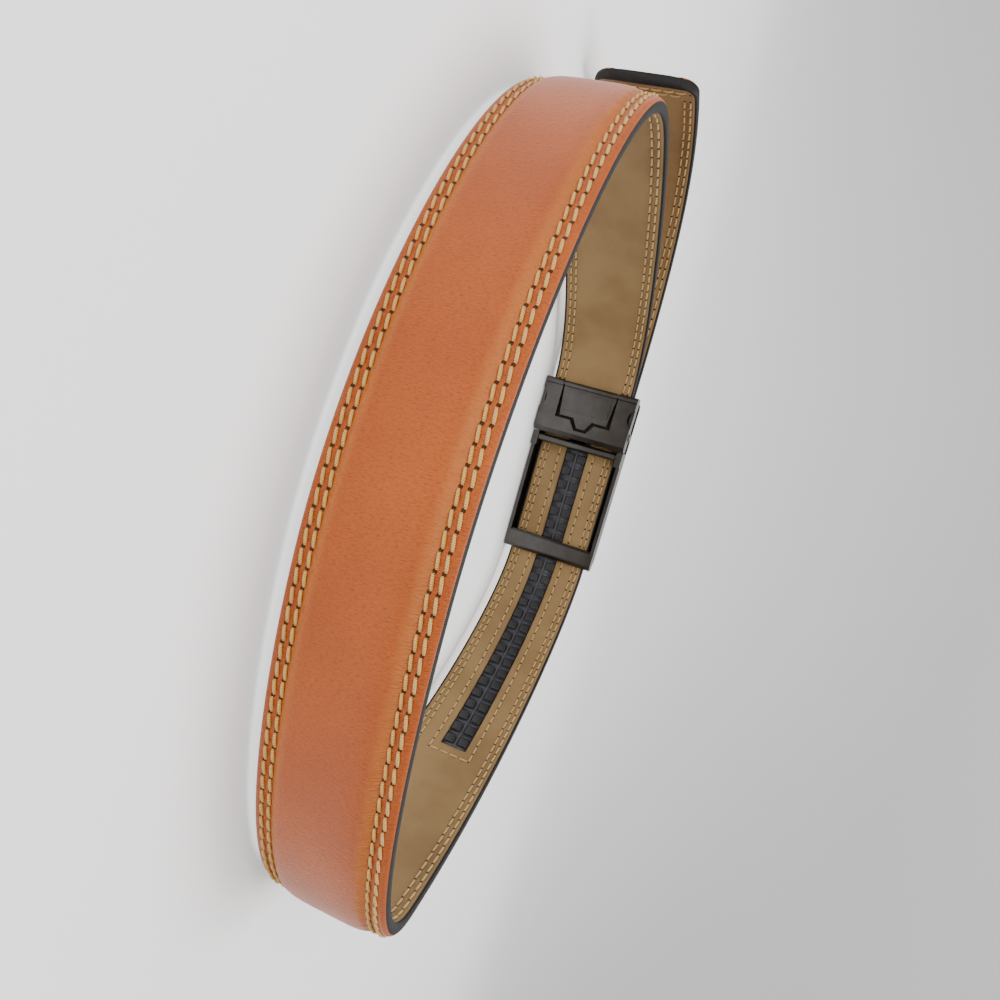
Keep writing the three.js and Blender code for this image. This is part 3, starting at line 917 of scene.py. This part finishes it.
@dataclass
class Strap:
    """The strap with its lining, track and stitches. Lengths are in millimetres."""

    route: StrapRoute
    sewing: Sewing = Sewing()
    width: float = 35.0
    thickness: float = 3.6
    lining: float = 1.2
    crown: float = 1.5
    crown_fall: int = 5
    crown_round: float = 0.62
    crown_fade: float = 14.0
    margin: float = 4.9
    corner: float = 5.0
    corner_rings: int = 14
    station: float = 1.0
    columns: int = 61
    bunching: float = 0.985
    bunched_share: float = 0.35
    top_inset: float = 0.32
    round_from: float = 16.2
    round_run: float = 1.3
    round_drop: float = 0.5
    edge_shoulder: tuple[tuple[float, float], ...] = ((0.0, 0.45), (0.12, 1.2))
    edge_foot: tuple[tuple[float, float], ...] = ((0.14, 1.5), (0.06, 0.45), (-0.25, -0.06), (-0.75, -0.02))
    edge_seat: tuple[float, float] = (-0.8, 0.9)
    edge_lap: float = 0.62
    slot_before_buckle: float = 103.0
    slot_to_tip: float = 42.0
    slot_width: float = 10.0
    slot_seam_gap: float = 2.0
    slot_columns: int = 3
    side_columns: int = 12
    lip_run: float = 0.7
    lip_rise: float = 0.16
    lip_past: float = 0.8
    clear: float = 0.3
    tiny: float = 0.01
    seam_dip: Swell = Swell(14.2, 1.9, 0.16)
    crown_pucker: Swell = Swell(12.0, 0.9, 0.13)
    edge_pucker: Swell = Swell(16.3, 0.6, 0.05)
    lining_dip: Swell = Swell(14.2, 1.6, 0.1)
    lining_pucker: Swell = Swell(12.2, 0.9, 0.04)
    thread_bed: Swell = Swell(14.2, 1.6, 0.08)
    outer_slant: float = 0.3
    inner_slant: float = 0.1
    edge_hole_in: float = 0.15
    slot_hole_in: float = 0.2
    rows_short_of_tip: float = 5.5
    tip_row_inset: float = 1.0

    @property
    def slot_span(self) -> tuple[float, float]:
        """Where the slot starts and ends along the strap."""
        return self.route.buckle_start - self.slot_before_buckle, self.route.length - self.slot_to_tip

    @property
    def slot_seam(self) -> tuple[float, float]:
        """The seam round the slot, in whole stitches.

        Returns:
            Where it starts and ends along the strap.
        """
        start, end = self.slot_span
        first = math.floor((start - self.slot_seam_gap) / self.sewing.pitch)
        last = math.ceil((end + self.slot_seam_gap) / self.sewing.pitch)
        return first * self.sewing.pitch, last * self.sewing.pitch

    def half_width(self, along: np.ndarray) -> np.ndarray:
        """Half the strap's width, which falls away round the corners of the free end."""
        rise = np.clip(self.corner - (self.route.length - along), 0, self.corner)
        return self.width / 2 - self.corner + np.sqrt(np.maximum(self.corner ** 2 - rise ** 2, 0))

    def stations(self) -> np.ndarray:
        """The stations at which the strap's skin is drawn.

        Returns:
            Distances along the strap, closer together at the free end.
        """
        end = self.route.length
        body = np.arange(0, end - self.corner, self.station)
        turn = np.linspace(0, math.pi / 2, self.corner_rings)
        return np.concatenate([body, end - self.corner * (1 - np.sin(turn))])

    def top_of(self, along: np.ndarray, away: np.ndarray) -> np.ndarray:
        """The outer face's height over the inner one.

        Args:
            along: millimetres from the cut end.
            away: distance from the middle line, as it would be on the full width.

        Returns:
            Millimetres outward.
        """
        flat = self.width / 2 - self.margin
        end = np.clip((self.route.length - along) / self.crown_fade, 0, 1)
        swell = self.crown * end * end * (3 - 2 * end)
        pad = swell * np.maximum(1 - (away / flat) ** self.crown_fall, 0) ** self.crown_round
        pucker = np.cos(2 * math.pi * along / self.sewing.pitch)
        puff = self.crown_pucker.over(away) + self.edge_pucker.over(away)
        rounding = np.clip((away - self.round_from) / self.round_run, 0, 1) ** 2 * self.round_drop
        return self.thickness + pad - self.seam_dip.over(away) - pucker * puff - rounding

    def outer_height(self, along: np.ndarray, across: np.ndarray) -> np.ndarray:
        """The height at which threads lie on the outer face."""
        return self.top_of(along, np.abs(across))

    def lining_height(self, _along: np.ndarray, across: np.ndarray) -> np.ndarray:
        """The height at which threads lie on the lining, which is the same all along it."""
        return self.thread_bed.over(np.abs(across))

    def edge_section(
        self, along: np.ndarray, half: np.ndarray, top: np.ndarray
    ) -> tuple[np.ndarray, np.ndarray]:
        """The painted edge's section, from under the outer face to where the lining covers it.

        Args:
            along: the stations.
            half: half the strap's width at each.
            top: the outer face's height beside the edge at each.

        Returns:
            Distances across and outward, with a column for each point of the section.
        """
        ones = np.ones_like(half)
        out, level = self.edge_seat
        at_tip = along > self.route.length - self.edge_lap
        section = [(half + past, top - below) for past, below in self.edge_shoulder]
        section += [(half + past, height * ones) for past, height in self.edge_foot]
        section.append((half + out, np.where(at_tip, self.edge_foot[-1][1], level)))
        return np.stack([p[0] for p in section], 1), np.stack([p[1] for p in section], 1)

    def make_leather(self) -> bpy.types.Object:
        """The outer leather with its painted edges, as one closed skin.

        Returns:
            The piece.
        """
        along = self.stations()
        half = self.half_width(along)
        full = self.width / 2
        spread = np.linspace(-1, 1, self.columns)
        arc = math.pi / 2 * self.bunching
        bunched = np.sin(spread * arc) / math.sin(arc)
        shares = self.bunched_share * bunched + (1 - self.bunched_share) * spread
        face_a = np.outer(half - self.top_inset, shares)
        away = np.abs(face_a) / (half / full)[:, None] * full / (full - self.top_inset)
        face_n = self.top_of(along[:, None], away)
        side_a, side_n = self.edge_section(along, half, face_n[:, -1])
        ring_a = np.hstack([face_a, side_a, -side_a[:, ::-1]])
        ring_n = np.hstack([face_n, side_n, side_n[:, ::-1]])
        rows, count = ring_a.shape
        ring_s = np.repeat(along[:, None], count, 1)
        tip_row = int(np.searchsorted(along, self.route.length - self.corner))
        kinds = []
        for i in range(rows - 1):
            lap = 1 if i < tip_row else 0
            painted = range(self.columns - 1 + lap, count - lap)
            kinds += [int(j in painted) for j in range(count)]
        kinds += [1, 1]
        uv = np.stack([ring_s, ring_a], -1).reshape(-1, 2)
        materials = [TanLeather(self.sewing).build(), EdgePaint().build()]
        points = self.route.place(ring_s, ring_a, ring_n)
        obj = new_object("outer_leather", points, loft_faces(rows, count), materials, uv, kinds)
        close_up(obj)
        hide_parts("strap_leather")
        return obj

    def lining_grid(self) -> tuple[np.ndarray, np.ndarray, np.ndarray]:
        """The lining's near face, in rows along the strap and columns across it.

        Returns:
            Distances along, across and outward.
        """
        start, end = self.slot_span
        along = self.stations()
        along = np.unique(np.concatenate([along[np.abs(along - start) > self.clear], [start, end]]))
        along = along[(np.abs(along - end) > self.clear) | (along == end)]
        half = self.half_width(along) - self.edge_lap
        near_end = np.clip((along - self.route.length + self.corner) / self.corner, 0, 1)
        along = along - self.edge_lap * near_end
        slot = self.slot_width / 2
        inner = np.linspace(-slot, slot, self.slot_columns + 1)
        reach = (half - slot)[:, None] * np.linspace(0, 1, self.side_columns + 1)[1:]
        across = np.hstack([-slot - reach[:, ::-1], np.repeat(inner[None], len(half), 0), slot + reach])
        away = np.abs(across)
        pucker = np.cos(2 * math.pi * along / self.sewing.pitch)[:, None]
        outward = self.lining_dip.over(away) + pucker * self.lining_pucker.over(away)
        lip = np.clip((away - slot) / self.lip_run, 0, 1)
        opened = ((along > start - self.lip_past) & (along < end + self.lip_past))[:, None]
        outward = outward + np.where(opened, (1 - lip) ** 2 * self.lip_rise, 0)
        return np.repeat(along[:, None], across.shape[1], 1), across, outward

    def make_lining(self) -> bpy.types.Object:
        """The inner lining, cut out along the slot.

        Returns:
            The piece.
        """
        along, across, outward = self.lining_grid()
        near = self.route.place(along, across, outward)
        far = self.route.place(along, across, np.full_like(across, self.lining))
        rows, count = across.shape
        start, end = self.slot_span
        slot_from = along[:, 0] > start - self.tiny
        slot_up_to = along[:, 0] < end + self.tiny
        over_slot = range(self.side_columns, self.side_columns + self.slot_columns)
        faces: Polygons = []
        sides: list[tuple[int, int]] = []
        total = rows * count
        for i in range(rows - 1):
            for j in range(count - 1):
                if j in over_slot and slot_from[i] and slot_up_to[i + 1]:
                    continue
                cell = [i * count + j, i * count + j + 1, (i + 1) * count + j + 1, (i + 1) * count + j]
                faces.append(tuple(cell))
                faces.append(tuple(total + c for c in reversed(cell)))
                sides += zip(cell, cell[1:] + cell[:1])
        known = set(sides)
        faces += [(q, p, total + p, total + q) for p, q in sides if (q, p) not in known]
        points = np.concatenate([near.reshape(-1, 3), far.reshape(-1, 3)])
        uv = np.stack([along, across], -1).reshape(-1, 2)
        material = LiningLeather(self.sewing, self.slot_seam).build()
        obj = new_object("inner_lining", points, faces, [material], np.concatenate([uv, uv]))
        close_up(obj)
        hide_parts("strap_lining")
        return obj

    def edge_stitches(self, slant: float) -> np.ndarray:
        """The stitches in rows along both edges and across the free end.

        Args:
            slant: how far each end of a stitch is off its row.

        Returns:
            A row for each stitch: along and across at its first hole, then at its second.
        """
        out = []
        pitch, inner = self.sewing.pitch, self.edge_hole_in
        along_count = int((self.route.length - self.rows_short_of_tip) / pitch)
        for row in self.sewing.rows:
            for side in (-1, 1):
                for i in range(along_count):
                    s = i * pitch
                    out.append((s + inner, side * row - slant, s + pitch - inner, side * row + slant))
            reach = row - self.tip_row_inset
            count = max(2, round(2 * reach / pitch))
            gap = 2 * reach / count
            end = self.route.length - (self.width / 2 - row)
            for i in range(count):
                z = -reach + i * gap
                out.append((end - slant, z + inner, end + slant, z + gap - inner))
        return np.array(out)

    def slot_stitches(self) -> np.ndarray:
        """The stitches round the slot.

        Returns:
            A row for each stitch, in the same form as for the edge stitches.
        """
        start, end = self.slot_seam
        pitch, row, inner = self.sewing.pitch, self.sewing.slot_row, self.slot_hole_in
        out = []
        for side in (-1, 1):
            for i in range(round((end - start) / pitch)):
                s = start + i * pitch
                out.append((s + inner, side * row, s + pitch - inner, side * row))
        cross = round(2 * row / pitch)
        step = 2 * row / cross
        for s in (start, end):
            for i in range(cross):
                z = -row + i * step
                out.append((s, z + inner, s, z + step - inner))
        return np.array(out)

    def build(self) -> list[tuple[bpy.types.Object, Body]]:
        """Makes every piece of the strap.

        Returns:
            Each piece with the body that it rides on.
        """
        cream = Thread("cream_thread", (0.7, 0.44, 0.13), (0.38, 0.18, 0.04))
        tan = Thread("tan_thread", (0.62, 0.42, 0.17), (0.3, 0.17, 0.06))
        outer_sewing = Stitches("outer_stitches", Face.OUTER, 0.41, cream, self.outer_height)
        inner_sewing = Stitches("inner_stitches", Face.INNER, 0.31, tan, self.lining_height)
        outer = outer_sewing.build(self.route, self.edge_stitches(self.outer_slant))
        inner_holes = np.concatenate([self.edge_stitches(self.inner_slant), self.slot_stitches()])
        inner = inner_sewing.build(self.route, inner_holes)
        track = Track(self.route, self.slot_span, self.slot_width)
        pieces = [self.make_leather(), self.make_lining(), track.build(), outer, inner]
        return [(piece, Body.STRAP) for piece in pieces]


@dataclass(frozen=True)
class MetalPart:
    """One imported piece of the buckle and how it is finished."""

    node: str
    body: Body
    slot: Slot
    edge: float


@dataclass
class Buckle:
    """The buckle's metal pieces, softened along their edges. Lengths are in millimetres."""

    lid_inset: float = 1.2
    lip_inset: float = 0.6
    hinge_length: float = 2.6
    full_inset_from: float = 1.4
    crease: float = math.radians(28)
    flat: float = math.radians(1.5)
    weld: float = 0.002
    parts: tuple[MetalPart, ...] = (
        MetalPart("buckle_frame", Body.STRAP, Slot.METAL, 0.3),
        MetalPart("clamp_body", Body.STRAP, Slot.METAL, 0.28),
        MetalPart("clamp_lid", Body.LID, Slot.METAL, 0.22),
        MetalPart("clamp_lid_pin", Body.STRAP, Slot.PIN, 0.12),
        MetalPart("clamp_pivot_lower", Body.STRAP, Slot.PIN, 0.2),
        MetalPart("clamp_pivot_upper", Body.STRAP, Slot.PIN, 0.2),
        MetalPart("pawl", Body.PAWL, Slot.METAL, 0.18),
        MetalPart("pawl_rod", Body.STRAP, Slot.PIN, 0.15),
    )

    def soften(self, part: MetalPart, material: bpy.types.Material) -> bpy.types.Object:
        """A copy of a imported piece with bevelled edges.

        Args:
            part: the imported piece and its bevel.
            material: its finish.

        Returns:
            The new piece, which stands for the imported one.
        """
        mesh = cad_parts[part.node].data.copy()
        work = bmesh.new()
        work.from_mesh(mesh)
        bmesh.ops.remove_doubles(work, verts=work.verts, dist=self.weld * MM)
        bmesh.ops.dissolve_limit(
            work, angle_limit=self.flat, verts=work.verts, edges=work.edges, use_dissolve_boundaries=False
        )
        work.to_mesh(mesh)
        work.free()
        if part.body is Body.LID:
            self.narrow(mesh)
        mesh.materials.clear()
        mesh.materials.append(material)
        mesh.polygons.foreach_set("use_smooth", np.ones(len(mesh.polygons), bool))
        obj = bpy.data.objects.new(part.node + "_finished", mesh)
        bpy.context.scene.collection.objects.link(obj)
        bevel = obj.modifiers.new("bevel", "BEVEL")
        bevel.width = part.edge * MM
        bevel.segments = 3
        bevel.limit_method = "ANGLE"
        bevel.angle_limit = self.crease
        bevel.use_clamp_overlap = True
        even = obj.modifiers.new("even", "WEIGHTED_NORMAL")
        even.weight = 100
        even.keep_sharp = True
        graph = bpy.context.evaluated_depsgraph_get()
        finished = bpy.data.meshes.new_from_object(obj.evaluated_get(graph))
        obj.modifiers.clear()
        obj.data = finished
        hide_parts(part.node)
        return obj

    def narrow(self, mesh: bpy.types.Mesh) -> None:
        """Draws the lid's sides and lip in, which opens the gap round it.

        Args:
            mesh: the lid's own copy of its mesh.
        """
        low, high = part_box("clamp_lid")
        middle = (low.z + high.z) / 2
        half = (high.z - low.z) / 2
        hinge = low.x + self.hinge_length * MM
        for vertex in mesh.vertices:
            away = vertex.co.z - middle
            if vertex.co.x > hinge:
                share = min(1.0, abs(away) / half * self.full_inset_from)
                vertex.co.z -= math.copysign(self.lid_inset * MM, away) * share
                vertex.co.x -= self.lip_inset * MM

    def build(self) -> list[tuple[bpy.types.Object, Body]]:
        """Makes every piece of the buckle.

        Returns:
            Each piece with the body that it rides on.
        """
        finishes = {
            Slot.METAL: Gunmetal().build(),
            Slot.PIN: Gunmetal("darkened_steel", (0.1, 0.095, 0.092), (0.22, 0.21, 0.205)).build(),
        }
        return [(self.soften(part, finishes[part.slot]), part.body) for part in self.parts]


@dataclass(frozen=True)
class Lamp:
    """One soft square light. Lengths are in metres and power in watts."""

    name: str
    place: tuple[float, float, float]
    size: float
    power: float
    warmth: float = 0.03
    aim: tuple[float, float, float] = (0.0, 0.0, 0.02)

    def build(self) -> None:
        """Hangs the light and turns it to its aim."""
        data = bpy.data.lights.new(self.name, "AREA")
        data.size = self.size
        data.energy = self.power
        data.color = (1, 1 - self.warmth * 0.4, 1 - self.warmth)
        lamp = bpy.data.objects.new(self.name, data)
        lamp.location = self.place
        lamp.rotation_euler = (Vector(self.aim) - Vector(self.place)).to_track_quat("-Z", "Y").to_euler()
        bpy.context.scene.collection.objects.link(lamp)


@dataclass
class Studio:
    """The floor, the lights and the camera. Lengths are in metres."""

    eye: tuple[float, float, float] = (-0.01423, -0.22026, 0.07601)
    right: tuple[float, float, float] = (-0.2662, 0.2859, 0.9206)
    up: tuple[float, float, float] = (-0.9538, 0.0597, -0.2943)
    ahead: tuple[float, float, float] = (0.1391, 0.9564, -0.2568)
    lens: float = 25.2
    film_width: float = 36
    nearest: float = 0.01
    floor_size: float = 12.0
    bend_start: float = 0.7
    bend_radius: float = 1.0
    bend_steps: int = 25
    glow: float = 0.26
    sky: float = 0.4
    lamps: tuple[Lamp, ...] = (
        Lamp("key", (-0.32, -0.42, 0.42), 0.22, 1.5),
        Lamp("strip", (-0.04, -0.52, 0.42), 0.2, 1.4, aim=(0.0, -0.09, 0.03)),
        Lamp("front", (-0.36, -0.36, 0.1), 0.14, 0.3),
        Lamp("top", (0.05, 0.25, 1.1), 0.6, 13, warmth=0.0),
    )

    def make_floor(self) -> None:
        """A wide pale floor under the belt, swept up behind it."""
        g = Graph("pale_floor")
        speck = g.noise(g.place(), 6, 2, 0.5)
        colour = g.blend(speck, (0.86, 0.86, 0.86), (0.9, 0.9, 0.9))
        material = g.finish(
            None, 0.0, 0.0, Base_Color=colour, Roughness=0.95, Specular_IOR_Level=0.05,
            Emission_Color=(1, 1, 1, 1), Emission_Strength=self.glow,
        )
        half = self.floor_size / 2
        turn = np.linspace(0, math.pi / 2, self.bend_steps)
        bend_y = self.bend_start + self.bend_radius * np.sin(turn)
        bend_z = self.bend_radius * (1 - np.cos(turn))
        y = np.concatenate([[-half], bend_y, [bend_y[-1]]])
        z = np.concatenate([[0.0], bend_z, [half]])
        count = len(y)
        points = np.concatenate([np.column_stack([np.full(count, x), y, z]) for x in (-half, half)])
        faces = [(i, count + i, count + i + 1, i + 1) for i in range(count - 1)]
        floor = new_object("floor", points, faces, [material])
        floor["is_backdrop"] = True

    def make_sky(self) -> None:
        """An even white sky."""
        world = bpy.data.worlds.new("even_sky")
        world.use_nodes = True
        back = world.node_tree.nodes["Background"]
        back.inputs[0].default_value = (1, 1, 1, 1)
        back.inputs[1].default_value = self.sky
        bpy.context.scene.world = world

    def make_camera(self) -> None:
        """The photograph's viewpoint."""
        data = bpy.data.cameras.new("camera")
        data.lens = self.lens
        data.sensor_width = self.film_width
        data.sensor_fit = "HORIZONTAL"
        data.clip_start = self.nearest
        camera = bpy.data.objects.new("camera", data)
        columns = [Vector(self.right), Vector(self.up), -Vector(self.ahead)]
        turn = Matrix([[c[i] for c in columns] for i in range(3)])
        camera.matrix_world = Matrix.Translation(self.eye) @ turn.to_4x4()
        bpy.context.scene.collection.objects.link(camera)
        bpy.context.scene.camera = camera

    def build(self) -> None:
        """Makes the whole setting."""
        self.make_camera()
        self.make_floor()
        for lamp in self.lamps:
            lamp.build()
        self.make_sky()


def write_sizes() -> None:
    boxes = {"cad": CAD_BOX, "visual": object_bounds()}
    sizes = {name: [[float(v) for v in corner] for corner in box] for name, box in boxes.items()}
    for name, (low, high) in sizes.items():
        log.info("%s box %s mm", name, [round((b - a) / MM, 2) for a, b in zip(low, high)])


def main() -> None:
    """Builds the setting, the strap and the buckle, and reports each piece."""
    Studio().build()
    route = StrapRoute()
    log.info("strap length %.1f mm", route.length)
    for piece, body in Strap(route).build() + Buckle().build():
        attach(piece, body.value)
        log.info("%s rides on %s, %d faces", piece.name, body.value, len(piece.data.polygons))
    write_sizes()


if __name__ == "__main__":
    main()
